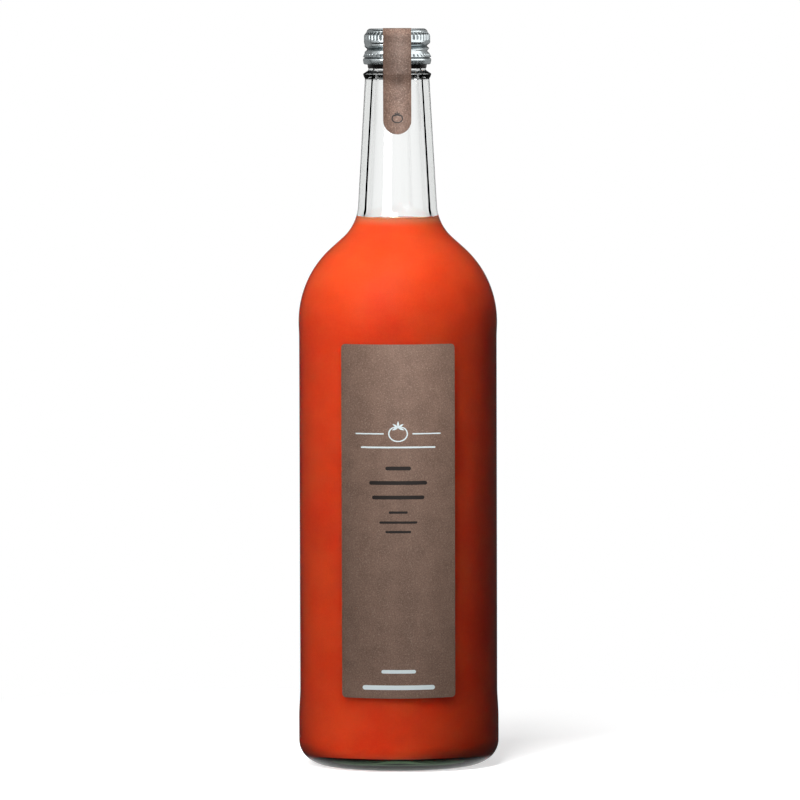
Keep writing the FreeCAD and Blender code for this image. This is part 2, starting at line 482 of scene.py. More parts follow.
# %% Heights that follow from them
panel_bottom = heel_ring_top + heel_step_height
shoulder_start = rim_height - 122.9
panel_top = shoulder_start - shoulder_ring_height - top_step_height
shoulder_corner = shoulder_start + shoulder_round * math.tan(shoulder_angle / 2)
bead_edge = rim_height - 18.1
bead_under = bead_edge - 1.3
neck_top = bead_under - 0.7
bore_entry = rim_height - 20.5
bore_entry_height = 6.5
bore_entry_round = 6.0
fill_height = rim_height - 78.94
print(f"panel from z {panel_bottom:.1f} to {panel_top:.1f} mm, juice up to z {fill_height:.1f} mm")

# %% [markdown]
# ## The outside of the bottle
# The neck is a straight taper and the shoulder a cone, so the corner between them is worked
# out from the two lines. The hollow under the foot and the floor inside are shallow domes,
# which have to be level where they meet the axis, or a point would show there.

# %% Outside outline
def neck_radius(height):
    return neck_top_radius + neck_taper * (neck_top - height)


def neck_corner(cone_inset, neck_inset):
    """Where the shoulder's cone and the neck's side meet, each moved in by its own amount."""
    cone_at_floor = body_radius - cone_inset + shoulder_corner * math.tan(shoulder_angle)
    neck_at_floor = neck_radius(0) - neck_inset
    height = (cone_at_floor - neck_at_floor) / (math.tan(shoulder_angle) - neck_taper)
    return neck_radius(height) - neck_inset, height


def dome(centre_height, edge_radius, edge_height):
    """The middle of a shallow dome, level at the axis and straight towards its edge."""
    share_of_run = 0.42
    half_radius = edge_radius / 2
    turn = math.atan2(abs(centre_height - edge_height), half_radius)
    dome_round = share_of_run * half_radius / math.tan(turn / 2)
    return [(0, centre_height, 0), (half_radius, centre_height, dome_round)]


outside_corners = dome(punt_height, foot_radius - foot_width, 0) + [
    (foot_radius - foot_width, 0, foot_edge_round),
    (heel_radius - heel_cut_width, 0, heel_toe_round),
    (heel_radius, heel_cut_height, heel_side_round),
    (heel_radius, heel_ring_top, heel_step_round),
    (panel_radius, panel_bottom, heel_step_round),
    (panel_radius, panel_top, top_step_round),
    (body_radius, panel_top + top_step_height, top_step_round),
    (body_radius, shoulder_corner, shoulder_round),
    (*neck_corner(0, 0), neck_round),
    (neck_top_radius, neck_top, finish_round),
    (bead_radius - 0.4, bead_under, bead_round),
    (bead_radius, bead_edge, bead_round),
    (finish_radius, bead_edge + 1.5, finish_round),
    (finish_radius, rim_height, rim_round),
]
print(f"neck meets shoulder at z {neck_corner(0, 0)[1]:.1f} mm")

# %% [markdown]
# ## The inside of the bottle
# The inside is needed twice: for the glass wall, and for the juice, which reaches a little
# way into the wall so that no film of air shows between the two. `deeper` is how far it
# reaches in.

# %% Inside outline
def inside_corners(deeper=0.0):
    """From the floor's centre up to the rim, moved into the glass by `deeper` millimetres."""
    wall = body_wall - deeper
    cone_inset = wall / math.cos(shoulder_angle)
    inner_shoulder = shoulder_corner + (wall - cone_inset) / math.tan(shoulder_angle)
    floor = punt_height + base_thickness - deeper
    edge = floor_edge_height - deeper
    entry_radius = neck_radius(bore_entry) - neck_top_wall + deeper
    return dome(floor, body_radius - wall, edge) + [
        (body_radius - wall, edge, floor_round),
        (body_radius - wall, inner_shoulder, shoulder_round - wall),
        (*neck_corner(cone_inset, neck_wall - deeper), neck_round + neck_wall - deeper),
        (entry_radius, bore_entry, bore_entry_round),
        (bore_radius + deeper, bore_entry + bore_entry_height, bore_entry_round),
        (bore_radius + deeper, rim_height, bore_rim_round),
    ]


print(f"inside radius of the body {body_radius - body_wall:.2f} mm")

# %% [markdown]
# ## Glass
# Soda-lime flint glass is almost colourless, and looks green only where the light runs a long
# way inside it, as in the foot. So the surface itself stays clear, and a thin absorption
# inside the wall gives the tint. The mould leaves a faint roll in the surface.

# %% The glass finish and the bottle
glass_index = 1.52
glass_tint = (0.62, 0.80, 0.70, 1.0)
glass_tint_density = 9.0
glass_roll_size = 14 * mm
glass_roll_height = 0.03 * mm
steps_round_bottle = 192
clear_glass, glass_tree, glass_shader = new_finish(
    "clear_glass", Base_Color=(1.0, 1.0, 1.0, 1.0), Roughness=0.0, IOR=glass_index,
    Transmission_Weight=1.0)
glass_roll = placed(glass_tree, waviness, Place=object_place(glass_tree), Size=glass_roll_size,
                    Stretch=0.35)
roughened(glass_tree, glass_shader, glass_roll["Height"], glass_roll_height)
glass_inside = add(glass_tree, "ShaderNodeVolumeAbsorption",
                   {"Color": glass_tint, "Density": glass_tint_density})
glass_tree.links.new(glass_inside.outputs[0], node_of(glass_tree, "OUTPUT_MATERIAL").inputs["Volume"])

glass_outline = chain("glass_outline", outline_points(outside_corners + inside_corners()[::-1]))
bottle = grow("bottle_glass", glass_outline,
              (lathe, {"Steps Around": steps_round_bottle, "Finish": clear_glass}))
keep(bottle, "bottle_glass", "glass")

# %% [markdown]
# ## Tomato juice
# The juice is thick with pulp, so light hardly enters it: it looks like a soft orange-red
# paint with slow clouds in it. It is paler towards the top, partly its own tone and partly
# painted light from above. A little light does wander inside, redder the further it goes,
# which is what the subsurface values say.

# %% The juice's finish
juice_colour = (0.74, 0.054, 0.014, 1.0)
juice_pale_colour = (0.86, 0.105, 0.024, 1.0)
juice_top_colour = (0.84, 0.20, 0.10, 1.0)
light_depth = 4.5 * mm
light_spread = (1.0, 0.25, 0.12)
pulp_size = 1.1 * mm
pulp_cloud_size = 22 * mm
pulp_share = 0.12
pulp_cloud_share = 0.5
# Paler towards the top: partly the juice's own tone and partly painted light from above.
pale_and_lit_top_share = 0.4
pale_and_lit_top_depth = (45, 8)
top_depth = (4.2, 0.8)


def below_fill(tree, height, depths):
    """Fades in between two depths, in millimetres, below the juice's level."""
    return fade(tree, height, (fill_height - depths[0]) * mm, (fill_height - depths[1]) * mm)


def juice_finish(name, roughness, gloss):
    """Orange-red with soft clouds, palest at the level; paler towards the top, partly its own tone and
    partly painted light from above.
    """
    finish, tree, shader = new_finish(
        name, Roughness=roughness, Specular_IOR_Level=gloss, Subsurface_Weight=1.0,
        Subsurface_Scale=light_depth, Subsurface_Radius=light_spread)
    here = object_place(tree)
    pulp = placed(tree, specks, Place=here, Fleck_Size=pulp_size, Cloud_Size=pulp_cloud_size)
    strength = product(tree, pulp["Clouds"], pulp_cloud_share)
    strength = calc(tree, "MULTIPLY_ADD", pulp["Flecks"], pulp_share, strength)
    height = parts_of(tree, here)["Z"]
    # Painted light from above, with some of the juice's own paler tone, towards the top.
    pale_and_lit_top = below_fill(tree, height, pale_and_lit_top_depth)
    strength = calc(tree, "MULTIPLY_ADD", pale_and_lit_top, pale_and_lit_top_share, strength)
    body_colour = mixed(tree, strength, juice_colour, juice_pale_colour)
    near_top = below_fill(tree, height, top_depth)
    painted = mixed(tree, near_top, body_colour, juice_top_colour)
    tree.links.new(painted, shader.inputs["Base Color"])
    return finish


pulpy_juice = juice_finish("pulpy_juice", roughness=0.5, gloss=0.05)
wet_juice = juice_finish("wet_juice", roughness=0.12, gloss=0.4)
print("juice finishes:", pulpy_juice.name, wet_juice.name)

# %% [markdown]
# ## Where juice meets glass
# Juice and glass are nearly the same to light, so the side of the juice has almost no gloss.
# Only where sight grazes the boundary does it turn into a mirror, because light that leaves
# glass for something thinner is thrown back there. A Fresnel node with an index below 1
# gives just that, and draws the dark line down both sides of the bottle.

# %% The grazing mirror
juice_index = 1.35
grazing_colour = (0.30, 0.36, 0.28, 1.0)


def behind_glass(finish, index, mirror_colour):
    """Adds the mirror that shows where sight grazes the boundary of glass and juice."""
    tree = finish.node_tree
    output = node_of(tree, "OUTPUT_MATERIAL")
    painted = output.inputs["Surface"].links[0].from_socket
    mirror = add(tree, "ShaderNodeBsdfAnisotropic", {"Color": mirror_colour, "Roughness": 0.02})
    grazing = add(tree, "ShaderNodeFresnel", {"IOR": index})
    both = blended(tree, grazing.outputs[0], painted, mirror.outputs[0])
    tree.links.new(both, output.inputs["Surface"])


behind_glass(pulpy_juice, juice_index / glass_index, grazing_colour)
print(f"index of juice behind glass {juice_index / glass_index:.3f}")

# %% [markdown]
# ## The body of the juice and its surface
# The juice is made in two pieces. The body fills the bottle up to just below the level. The
# free surface is a thin slice of its own with a wet gloss, and it climbs the wall a little at
# its edge, as water does in a glass.

# %% The juice
juice_reach = 0.15
meniscus_height = 0.1 * mm
meniscus_width = 1.0 * mm
meniscus_steps = 12
surface_depth = 0.6 * mm
surface = fill_height * mm
surface_foot = surface - surface_depth


def up_to(points, height):
    """The part of a rising line below a height, ending exactly at it."""
    below = [point for point in points if point.y < height]
    after = points[len(below)]
    share = (height - below[-1].y) / (after.y - below[-1].y)
    return below + [below[-1].lerp(after, share)]


def juice_piece(name, line, finish):
    """A piece of juice, turned from its outline."""
    piece = grow(name, chain(name + "_line", divided(line, 4 * mm)),
                 (lathe, {"Steps Around": steps_round_bottle, "Finish": finish}))
    return keep(piece, "tomato_juice", "juice")


wall = outline_points(inside_corners(juice_reach))
body_line = up_to(wall, surface_foot) + [Vector((0, surface_foot))]
climb = [point for point in up_to(wall, surface + meniscus_height) if point.y > surface_foot]
rim = []
for step in range(1, meniscus_steps + 1):
    out = 1 - step / meniscus_steps
    radius = climb[-1].x - meniscus_width * (1 - out)
    rim.append(Vector((radius, surface + meniscus_height * out ** 2.5)))
top_line = [Vector((0, surface_foot)), body_line[-2]] + climb + rim + [Vector((0, surface))]
juice_body = juice_piece("juice_body", body_line, pulpy_juice)
juice_top = juice_piece("juice_surface", top_line, wet_juice)

# %% [markdown]
# ## The screw cap
# A roll-on cap starts as a plain drawn aluminium cup with fluted grips. On the filling line
# two rollers press it into the glass thread, which leaves a soft helical groove, and tuck the
# band under the bead. The lathe makes the cup, and a second tree presses flutes, thread and
# notches into it, all from the angle round the cap and the height.

# %% Sizes of the cap
cap_top = rim_height + 1.0
crown_radius = 12.85
crown_edge = cap_top - 1.5
grip_radius = 14.02
grip_slope = 1.3
grip_bottom = crown_edge - 5.1
grip_under_slope = 0.8
grip_round = 1.2
crest_radius = 13.75
band_edge = cap_top - 12.0
band_edge_radius = 14.43
band_groove_radius = 13.85
band_bead_top = band_edge - 0.7
band_bead_radius = 14.45
band_bottom = band_bead_top - 2.45
tuck_bottom = band_bottom - 1.5
skirt_inside = finish_radius + 0.03
print(f"cap from z {band_bottom:.1f} to {cap_top:.1f} mm")

# %% Outline of the cap
cap_corners = [
    (0, rim_height, 0),
    (skirt_inside, rim_height, 0.8),
    (skirt_inside, tuck_bottom, 0),
    (skirt_inside + 0.12, tuck_bottom, 0.05),
    (skirt_inside + 0.35, band_bottom + 0.1, 0.3),
    (band_bead_radius - 0.8, band_bottom, 0.3),
    (band_bead_radius - 0.3, band_bottom + 0.3, 0.4),
    (band_bead_radius, band_bead_top - 0.6, 0.7),
    (band_bead_radius - 0.1, band_bead_top, 0.2),
    (band_groove_radius, band_bead_top + 0.15, 0.1),
    (band_groove_radius, band_edge - 0.05, 0.1),
    (band_edge_radius, band_edge - 0.1, 0.12),
    (band_edge_radius, band_edge + 0.1, 0.1),
    (crest_radius, band_edge + 1.5, 1.0),
    (crest_radius, grip_bottom, 0.3),
    (grip_radius, grip_bottom + grip_under_slope, grip_round),
    (grip_radius, crown_edge - grip_slope, grip_round),
    (crown_radius + 0.1, crown_edge, 0.25),
    (crown_radius, cap_top, 1.8),
    (0, cap_top, 0),
]
cap_points = outline_points(cap_corners, 3 * mm, 0.15 * mm)
pressed_rows = [number for number, spot in enumerate(cap_points)
                if spot.x > (skirt_inside + 0.5) * mm and band_edge * mm < spot.y < crown_edge * mm]
first_row, last_row = pressed_rows[0], pressed_rows[-1]
fine_rows = divided(cap_points[first_row:last_row + 1], 0.14 * mm)
cap_line = chain("cap_line", cap_points[:first_row] + fine_rows + cap_points[last_row + 1:])

# %% [markdown]
# ## A tree that presses
# Every pattern on the cap is a dent, so all of them can share one tree. It looks at each point
# of the turned cup, works out how deep it is pressed, and moves it straight towards the axis.
# Its sizes are inputs, so another cap needs only other numbers.

# %% Inputs of the press
press_sizes = {
    "Grips": 42, "Grip Depth": 0.36 * mm, "Grip Bottom": (grip_bottom + 1.2) * mm,
    "Grip Top": (crown_edge + 0.4) * mm, "Thread Foot": (cap_top - 8.8) * mm,
    "Thread Pitch": 3.0 * mm, "Run Out Pitch": 1.2 * mm, "Thread Depth": 1.05 * mm,
    "Thread Half Width": 1.3 * mm, "Notches": 42, "Notch Height": (band_edge + 0.8) * mm,
    "Notch Depth": 0.42 * mm, "Notch Half Width": 0.55 * mm, "Notch Half Height": 0.8 * mm,
}
press_inputs = {"Shell": ("Geometry", None)}
for title, value in press_sizes.items():
    press_inputs[title] = ("Int" if isinstance(value, int) else "Float", value)
press_inputs["Finish"] = ("Material", None)
press, press_in, press_out = new_tree("press", "GeometryNodeTree", press_inputs,
                                      {"Pressed": ("Geometry", None)})
spot = parts_of(press, add(press, "GeometryNodeInputPosition").outputs[0])
height = spot["Z"]
azimuth = calc(press, "ARCTAN2", spot["Y"], spot["X"])
flat_spot = place_from(press, spot["X"], spot["Y"])
reach = vector_calc(press, "LENGTH", flat_spot)["Value"]
outside = fade(press, reach, (skirt_inside + 0.2) * mm, (skirt_inside + 0.5) * mm)
print("press inputs:", len(press_inputs))

# %% [markdown]
# ## Flutes, thread and notches
# The flutes are a wave round the cap, raised to a power so that they are narrow and the
# ridges between them broad. The thread is the distance from a line that climbs with the angle.
# It is asked three times, for the turn itself and for the turns before and after, so that the
# groove runs on past the seam. The notches are small ovals round the nearest of their places.

# %% The flutes
flute_power = 2.0
flute_run_in = 1.0 * mm
flute_run_out = 0.7 * mm


def dent(distance):
    """1 at distance 0, falling smoothly to 0 at distance 1 and beyond."""
    angle = product(press, calc(press, "MINIMUM", distance, 1.0), math.pi)
    return calc(press, "MULTIPLY_ADD", calc(press, "COSINE", angle), 0.5, 0.5)


def grip_press(sizes):
    """Narrow flutes between broad ridges, tapering out at both ends."""
    wave = calc(press, "COSINE", product(press, azimuth, sizes["Grips"]))
    flute = calc(press, "POWER", calc(press, "MULTIPLY_ADD", wave, 0.5, 0.5), flute_power)
    low_end = calc(press, "ADD", sizes["Grip Bottom"], flute_run_in)
    high_end = calc(press, "SUBTRACT", sizes["Grip Top"], flute_run_out)
    from_below = fade(press, height, sizes["Grip Bottom"], low_end)
    from_above = fade(press, height, sizes["Grip Top"], high_end)
    span = product(press, from_below, from_above)
    return product(press, flute, span, sizes["Grip Depth"])


grips = grip_press(press_in)
print("flutes round the cap:", press_sizes["Grips"])

# %% The thread
thread_start = (-0.72, -0.45)
thread_end = (0.95, 0.75)


def thread_press(sizes, wrap):
    """One turn of the helical groove, counted in turns from the left side of the cap."""
    turns_round = calc(press, "DIVIDE", calc(press, "SUBTRACT", azimuth, math.pi), 2 * math.pi)
    turn = calc(press, "ADD", calc(press, "FRACT", turns_round), float(wrap))
    climb = product(press, calc(press, "MAXIMUM", turn, 0.0), sizes["Thread Pitch"])
    run_out = product(press, calc(press, "MINIMUM", turn, 0.0), sizes["Run Out Pitch"])
    groove = calc(press, "ADD", calc(press, "ADD", sizes["Thread Foot"], climb), run_out)
    off = calc(press, "ABSOLUTE", calc(press, "SUBTRACT", height, groove))
    shape = dent(calc(press, "DIVIDE", off, sizes["Thread Half Width"]))
    strength = product(press, fade(press, turn, *thread_start), fade(press, turn, *thread_end))
    return product(press, shape, strength, sizes["Thread Depth"])


thread = thread_press(press_in, 0)
for wrap in (-1, 1):
    thread = calc(press, "ADD", thread, thread_press(press_in, wrap))
print("thread asked for three turns")

# %% The notches
def notch_press(sizes):
    """Small oval dents in the flared edge, evenly round the cap."""
    count = calc(press, "DIVIDE", sizes["Notches"], 2 * math.pi)
    phase = product(press, azimuth, count)
    nearest = calc(press, "SUBTRACT", phase, calc(press, "ROUND", phase))
    along = calc(press, "DIVIDE", product(press, nearest, reach), count)
    across = calc(press, "DIVIDE", along, sizes["Notch Half Width"])
    above = calc(press, "SUBTRACT", height, sizes["Notch Height"])
    rise = calc(press, "DIVIDE", above, sizes["Notch Half Height"])
    squares = calc(press, "MULTIPLY_ADD", rise, rise, product(press, across, across))
    return product(press, dent(calc(press, "SQRT", squares)), sizes["Notch Depth"])


notches = notch_press(press_in)
print("notches in the flared edge:", press_sizes["Notches"])

# %% [markdown]
# ## Pressing, and remembering where
# Deep places catch less light, so the tree also stores how deep each point lies, as an attribute
# that the metal's finish reads to paint shade into them.

# %% The press itself
# How much each pattern counts towards the depth by which the finish paints shade.
grip_recess = 0.8
thread_recess_power = 1.3

recess = calc(press, "MULTIPLY_ADD", calc(press, "DIVIDE", grips, press_in["Grip Depth"]), grip_recess,
              calc(press, "DIVIDE", notches, press_in["Notch Depth"]))
thread_recess = calc(press, "DIVIDE", thread, press_in["Thread Depth"])
recess = calc(press, "ADD", calc(press, "POWER", thread_recess, thread_recess_power), recess)
marked = add(press, "GeometryNodeStoreNamedAttribute",
             {"Geometry": press_in["Shell"], "Name": "recess", "Value": product(press, recess, outside)},
             data_type="FLOAT", domain="POINT")
depth = calc(press, "ADD", calc(press, "ADD", grips, notches), thread)
inward = calc(press, "DIVIDE", product(press, depth, outside, -1.0), reach)
push = add(press, "ShaderNodeVectorMath", {0: flat_spot, "Scale": inward}, operation="SCALE").outputs[0]
moved = add(press, "GeometryNodeSetPosition", {"Geometry": marked.outputs[0], "Offset": push})
finish_tree(press, press_out, moved.outputs[0], press_in["Finish"])

# %% [markdown]
# ## Aluminium
# The cap is bare metal: bright, a little blue, and rolled so that the reflections are soft. A
# fine roll in the surface keeps the highlights from looking drawn. The recesses and the groove
# above the bead are painted darker, as painted shade, and the edge under the band is painted
# almost black, as a painted shadow.

# %% The aluminium finish
aluminium_colour = (0.77, 0.83, 0.84, 1.0)
aluminium_dull_colour = (0.66, 0.72, 0.74, 1.0)
# Painted shade: the recesses and the groove above the bead take a dark colour, and the edge under the
# band an almost black one, as a painted shadow.
painted_recess_shade_colour = (0.12, 0.145, 0.155, 1.0)
painted_band_shadow_colour = (0.03, 0.025, 0.025, 1.0)
metal_fleck_size = 0.5 * mm
metal_cloud_size = 5 * mm
recess_range = (0.25, 0.95)
metal_smoothest = 0.20
metal_fleck_roughness = 0.10
metal_roll_size = 1.5 * mm
metal_roll_height = 0.004 * mm

aluminium, metal_tree, metal_shader = new_finish("satin_aluminium", Metallic=1.0)
metal_place = object_place(metal_tree)
metal_height = parts_of(metal_tree, metal_place)["Z"]
metal_specks = placed(metal_tree, specks, Place=metal_place, Fleck_Size=metal_fleck_size,
                      Cloud_Size=metal_cloud_size)


def past(start, end):
    """Fades in over the cap from one height to another, in millimetres."""
    return fade(metal_tree, metal_height, start * mm, end * mm)


open_metal = mixed(metal_tree, metal_specks["Clouds"], aluminium_colour, aluminium_dull_colour)
# Painted shade in the flutes, the thread, the notches and the groove above the bead.
recess_depth = add(metal_tree, "ShaderNodeAttribute", attribute_name="recess").outputs["Fac"]
recess_shade = fade(metal_tree, recess_depth, *recess_range)
groove_shade = product(metal_tree, past(band_bead_top - 0.1, band_bead_top + 0.1),
                    past(band_edge + 0.05, band_edge - 0.1))
painted_shade = calc(metal_tree, "MAXIMUM", recess_shade, groove_shade)
metal_with_painted_shade = mixed(metal_tree, painted_shade, open_metal, painted_recess_shade_colour)
# Painted shadow along the edge under the band.
band_shadow = past(band_bottom + 0.1, band_bottom - 0.15)
painted_metal = mixed(metal_tree, band_shadow, metal_with_painted_shade, painted_band_shadow_colour)
metal_tree.links.new(painted_metal, metal_shader.inputs["Base Color"])
metal_roughness = calc(metal_tree, "MULTIPLY_ADD", metal_specks["Flecks"], metal_fleck_roughness,
                       metal_smoothest)
metal_tree.links.new(metal_roughness, metal_shader.inputs["Roughness"])
metal_roll = placed(metal_tree, waviness, Place=metal_place, Size=metal_roll_size, Stretch=0.5)
roughened(metal_tree, metal_shader, metal_roll["Height"], metal_roll_height)
print("aluminium finish:", len(metal_tree.nodes), "nodes")

# %% The cap
steps_round_cap = 420
cap = grow("screw_cap", cap_line, (lathe, {"Steps Around": steps_round_cap, "Finish": aluminium}),
           (press, {**press_sizes, "Finish": aluminium}))
keep(cap, "cap_aluminium", "cap")

# %% [markdown]
# ## Paper
# Label and seal are the same kind of pearl paper: a warm grey-brown with fine flecks, slow
# clouds and a soft sheen. Its fibres give a very low relief, and single pearl flecks are painted
# lighter, as painted glints. The finish is made twice. The seal's copy has a darker ground,
# painted shade against the stronger light on it, and stronger painted glints, because its
# narrow strip lies closer to the light and shows its grain more.

# %% The paper finish
paper_thickness = 0.15
glue_gap = 0.03
# Pearl flecks are painted lighter in this colour, as painted glints.
pearl_colour = (0.62, 0.47, 0.37, 1.0)
fibre_size = 0.45 * mm
paper_cloud_size = 7 * mm
fibre_share = 0.55
paper_cloud_share = 0.35
glint_size = 0.5 * mm
glint_range = (0.56, 0.74)
fibre_relief = 0.012 * mm


def paper_finish(name, colour, fleck_colour, pearl, glint):
    """Two browns in flecks and clouds, with painted pearl glints; pearl is the metal-like sheen."""
    finish, tree, shader = new_finish(name, Metallic=pearl, Roughness=0.5)
    here = object_place(tree)
    fibre = placed(tree, specks, Place=here, Fleck_Size=fibre_size, Cloud_Size=paper_cloud_size)
    strength = product(tree, fibre["Flecks"], fibre_share)
    strength = calc(tree, "MULTIPLY_ADD", fibre["Clouds"], paper_cloud_share, strength)
    paper_colour = mixed(tree, strength, colour, fleck_colour)
    # Painted glints: sparse flecks painted in the pearl colour.
    glitter = noise(tree, here, glint_size, Detail=1.0)
    glints = product(tree, fade(tree, glitter, *glint_range), glint)
    tree.links.new(mixed(tree, glints, paper_colour, pearl_colour), shader.inputs["Base Color"])
    roughened(tree, shader, fibre["Flecks"], fibre_relief)
    return finish


label_paper = paper_finish("pearl_label_paper", (0.20, 0.125, 0.093, 1.0), (0.33, 0.21, 0.158, 1.0),
                           pearl=0.22, glint=0.3)
# The seal's copy has a darker ground, painted shade against the stronger light on it, and stronger
# painted glints.
seal_paper = paper_finish("pearl_seal_paper", (0.12, 0.068, 0.048, 1.0), (0.34, 0.21, 0.158, 1.0),
                          pearl=0.2, glint=0.5)
print("paper finishes:", label_paper.name, seal_paper.name)

# %% [markdown]
# ## Painted shade on the seal
# The seal runs taut over the cap's edge, and down the side of the cap it is painted a little
# darker, as painted shade. Under the bead it bridges a hollow and folds in, and a soft painted
# shadow lies in the fold.

# %% Painted shade on the seal
# Painted shade: the seal is darkened towards this colour down the side of the cap and in the fold under
# the bead.
paper_shade_colour = (0.02, 0.014, 0.011, 1.0)
cap_side_shade_strength = 0.30
crease_shadow_strength = 0.38
crease_drop = 3.2
crease_reach = (4.5 * mm, 0.8 * mm)
cap_side_foot = ((bead_edge - 4) * mm, (bead_edge + 1) * mm)
cap_side_head = ((rim_height - 0.2) * mm, (rim_height - 2.5) * mm)


def paint_seal_shade(finish):
    """Paints shade on the seal down the side of the cap and a soft shadow in the fold under the bead."""
    tree = finish.node_tree
    colour = node_of(tree, "BSDF_PRINCIPLED").inputs["Base Color"]
    painted = colour.links[0].from_socket
    here = object_place(tree)
    height = parts_of(tree, here)["Z"]
    on_cap = fade(tree, height, *cap_side_foot)
    below_crown = fade(tree, height, *cap_side_head)
    # Painted shade down the side of the cap.
    cap_side_shade = product(tree, on_cap, below_crown, cap_side_shade_strength)
    # Painted shadow in the fold under the bead, round this spot.
    crease = (0.0, -neck_top_radius * mm, (bead_edge - crease_drop) * mm)
    from_crease = vector_calc(tree, "DISTANCE", here, crease)["Value"]
    creased = product(tree, fade(tree, from_crease, *crease_reach), crease_shadow_strength)
    darkness = calc(tree, "ADD", cap_side_shade, creased)
    tree.links.new(mixed(tree, darkness, painted, paper_shade_colour), colour)


paint_seal_shade(seal_paper)
print(f"seal creased at z {bead_edge - crease_drop:.1f} mm")

# %% [markdown]
# ## The seal strip
# The strip is laid over the cap and rubbed down its front and back, so it follows the outline
# of cap and neck, bridging the hollows. Its path is drawn once in the plane of radius and
# height, from the front end over the top to the back end. The tree spreads the path sideways
# and lays every point on the round surface, and rounds off the two ends.

# %% Path of the seal strip
strip_width = 11.9
strip_slack = 0.18
stand_off = glue_gap + paper_thickness
dent_height = bead_edge - 4.4
strip_end = rim_height - 43.5
strip_crown_round = 2.2
strip_side_round = 3.0
strip_bead_round = 6.0
strip_dent_round = 12.0
strip_corners = [
    (0, cap_top + stand_off, 0),
    (crown_radius + stand_off, cap_top + stand_off, strip_crown_round),
    (grip_radius + stand_off, crown_edge - grip_slope, strip_side_round),
    (grip_radius + stand_off, grip_bottom + grip_under_slope, strip_side_round),
    (band_edge_radius + strip_slack + stand_off, band_edge, strip_side_round),
    (bead_radius + strip_slack + stand_off, bead_edge, strip_bead_round),
    (neck_radius(dent_height) + stand_off, dent_height, strip_dent_round),
    (neck_radius(strip_end) + stand_off, strip_end, 0),
]
half_path = outline_points(strip_corners, 0.8 * mm, 0.3 * mm)
front_half = [Vector((-point.x, point.y)) for point in reversed(half_path[1:])]
strip_path = chain("strip_path", front_half + half_path)

# %% Spreading the path sideways
strip, strip_in, strip_out = new_tree(
    "strip", "GeometryNodeTree",
    {"Path": ("Geometry", None), "Width": ("Float", 0.01), "Columns": ("Int", 25),
     "Flat Radius": ("Float", 0.01), "Dent Height": ("Float", 0.3), "End Height": ("Float", 0.26),
     "Neck Taper": ("Float", 0.05), "Finish": ("Material", None)},
    {"Strip": ("Geometry", None)})
sheet = add(strip, "GeometryNodeMeshGrid",
            {"Vertices X": counted(strip, strip_in["Path"]), "Vertices Y": strip_in["Columns"]})
index = add(strip, "GeometryNodeInputIndex").outputs[0]
along = calc(strip, "FLOOR", calc(strip, "DIVIDE", index, strip_in["Columns"]))
across = calc(strip, "MODULO", index, strip_in["Columns"])
last_column = calc(strip, "SUBTRACT", strip_in["Columns"], 1.0)
across_angle = product(strip, calc(strip, "DIVIDE", across, last_column), math.pi)
half_width = product(strip, strip_in["Width"], 0.5)
side_x = product(strip, calc(strip, "COSINE", across_angle), half_width)
on_path = sampled_at(strip, strip_in["Path"], along)
print("strip: columns closer together towards both edges")

# %% Rounded ends
to_edge = product(strip, calc(strip, "SINE", across_angle), half_width)
end_rise = calc(strip, "SUBTRACT", half_width, to_edge)
run_length = calc(strip, "SUBTRACT", strip_in["Dent Height"], strip_in["End Height"])
run = calc(strip, "SUBTRACT", strip_in["Dent Height"], on_path["Z"])
run_share = calc(strip, "DIVIDE", calc(strip, "MAXIMUM", run, 0.0), run_length)
rise = product(strip, run_share, end_rise)
narrowing = product(strip, rise, strip_in["Neck Taper"])
path_radius = calc(strip, "SUBTRACT", calc(strip, "ABSOLUTE", on_path["X"]), narrowing)
print("strip: every row rises towards its edges, most at the end")

# %% Laying the strip on the round surface
side_square = product(strip, side_x, side_x)


def depth_at(radius):
    """How far in front of the axis a point of that radius lies, off to the side by side_x."""
    return calc(strip, "SQRT", calc(strip, "SUBTRACT", product(strip, radius, radius), side_square))


flat_share = calc(strip, "DIVIDE", path_radius, strip_in["Flat Radius"])
on_top = product(strip, depth_at(strip_in["Flat Radius"]), flat_share)
is_top = calc(strip, "LESS_THAN", path_radius, strip_in["Flat Radius"])
on_side = product(strip, depth_at(path_radius), rest_of(strip, is_top))
depth = calc(strip, "MULTIPLY_ADD", on_top, is_top, on_side)
signed_depth = product(strip, depth, calc(strip, "SIGN", on_path["X"]))
strip_place = place_from(strip, side_x, signed_depth, calc(strip, "ADD", on_path["Z"], rise))
laid = add(strip, "GeometryNodeSetPosition",
           {"Geometry": sheet.outputs["Mesh"], "Position": strip_place})
finish_tree(strip, strip_out, laid.outputs[0], strip_in["Finish"])

# %% The seal
strip_columns = 29
sharp_angle = math.radians(40)


def thicken(piece, thickness):
    """Gives an open sheet its thickness, inwards from the face that shows."""
    modifier = piece.modifiers.new("thickness", "SOLIDIFY")
    modifier.thickness = thickness
    modifier.offset = -1
    settle(piece)
    piece.data.set_sharp_from_angle(angle=sharp_angle)
    report(piece)
    return piece


seal = grow("paper_seal", strip_path,
            (strip, {"Width": strip_width * mm, "Columns": strip_columns,
                     "Flat Radius": (crown_radius + stand_off - strip_crown_round) * mm,
                     "Dent Height": dent_height * mm, "End Height": strip_end * mm,
                     "Neck Taper": neck_taper, "Finish": seal_paper}))
keep(thicken(seal, paper_thickness * mm), "seal_paper", "seal_strip")

# %% [markdown]
# ## The front label
# A label is cut flat and bent once round the body. So it is drawn flat here too, sliced into
# narrow columns so that it can bend, and a small tree wraps it round the bottle. What is
# printed on it goes through the same tree, a hair further out.

